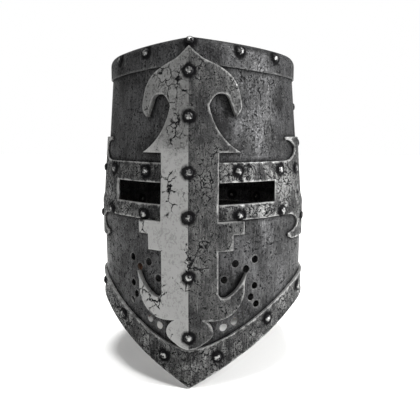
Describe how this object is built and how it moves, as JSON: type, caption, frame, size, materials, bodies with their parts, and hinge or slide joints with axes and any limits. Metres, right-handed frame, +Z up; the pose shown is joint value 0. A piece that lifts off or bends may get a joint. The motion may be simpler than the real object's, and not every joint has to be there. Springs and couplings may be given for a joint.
{
  "type": "great helm",
  "caption": "Great helm of riveted steel plates with eye slots, breath holes, a raised cross on its ridge, a quilted liner and a buckled chin strap.",
  "frame": {"origin": "on the surface the helm stands on, under the middle of its box", "axes": "+Z up; the face looks along -Y; +X is to the right as seen from in front"},
  "size_m": [0.2428, 0.2849, 0.364],
  "materials": {
    "dark_plate_steel": "black from the fire, mottled, worn and scratched",
    "band_steel": "paler, pitted and cracked, with bright chipped edges",
    "cross_steel": "filed, rubbed pale left of the ridge, with dark pits",
    "rivet_steel": "dark hammered iron with worn crowns",
    "washer_steel": "plain",
    "liner_leather": "vegetable-tanned, semi-matt",
    "strap_leather": "oiled harness leather",
    "quilted_linen": "unbleached linen over wool",
    "buckle_brass": "cast, tarnished"
  },
  "bodies": {
    "shell": {"crown_plate": "dark_plate_steel", "front_skull_plate": "dark_plate_steel", "back_skull_plate": "dark_plate_steel", "face_plate": "dark_plate_steel", "neck_plate": "dark_plate_steel", "sight_band": "band_steel", "ridge_cross": "cross_steel", "front_rim": "band_steel", "rear_rim": "band_steel", "crown_rivets": "rivet_steel", "ridge_rivets": "rivet_steel", "band_rivets": "rivet_steel", "front_rim_rivets": "rivet_steel", "rear_rim_rivets": "rivet_steel", "side_seam_rivets": "rivet_steel", "waist_rivets": "rivet_steel", "rear_liner_rivets": "rivet_steel", "liner_washers": "washer_steel", "liner_band": "liner_leather", "liner_crown_disc": "liner_leather", "liner_lobe_1": "quilted_linen", "liner_lobe_2": "quilted_linen", "liner_lobe_3": "quilted_linen", "liner_lobe_4": "quilted_linen", "liner_lobe_5": "quilted_linen", "liner_lobe_6": "quilted_linen", "liner_lobe_7": "quilted_linen", "liner_lobe_8": "quilted_linen", "strap_rivets": "rivet_steel", "strap_washers": "washer_steel"},
    "buckle_half": {"buckle_strap": "strap_leather", "strap_keeper": "strap_leather"},
    "billet_half": {"billet_strap": "strap_leather"},
    "buckle": {"buckle_frame": "buckle_brass"},
    "tongue": {"buckle_tongue": "buckle_brass"}
  },
  "joints": [
    {"name": "buckle_strap_swivel", "type": "hinge", "parent": "shell", "child": "buckle_half", "pos_m": [0.10094, 0.0481, 0.15], "axis": [0.9375, 0.3479, 0], "range_deg": [-25, 25]},
    {"name": "billet_strap_swivel", "type": "hinge", "parent": "shell", "child": "billet_half", "pos_m": [-0.10094, 0.0481, 0.15], "axis": [-0.9375, 0.3479, 0], "range_deg": [-25, 25]},
    {"name": "buckle_hinge", "type": "hinge", "parent": "buckle_half", "child": "buckle", "pos_m": [0.08744, 0.04309, 0.05547], "axis": [-0.3479, 0.9375, 0], "range_deg": [-20, 70]},
    {"name": "tongue_hinge", "type": "hinge", "parent": "buckle", "child": "tongue", "pos_m": [0.08744, 0.04309, 0.05547], "axis": [-0.3479, 0.9375, 0], "range_deg": [0, 60]}
  ]
}
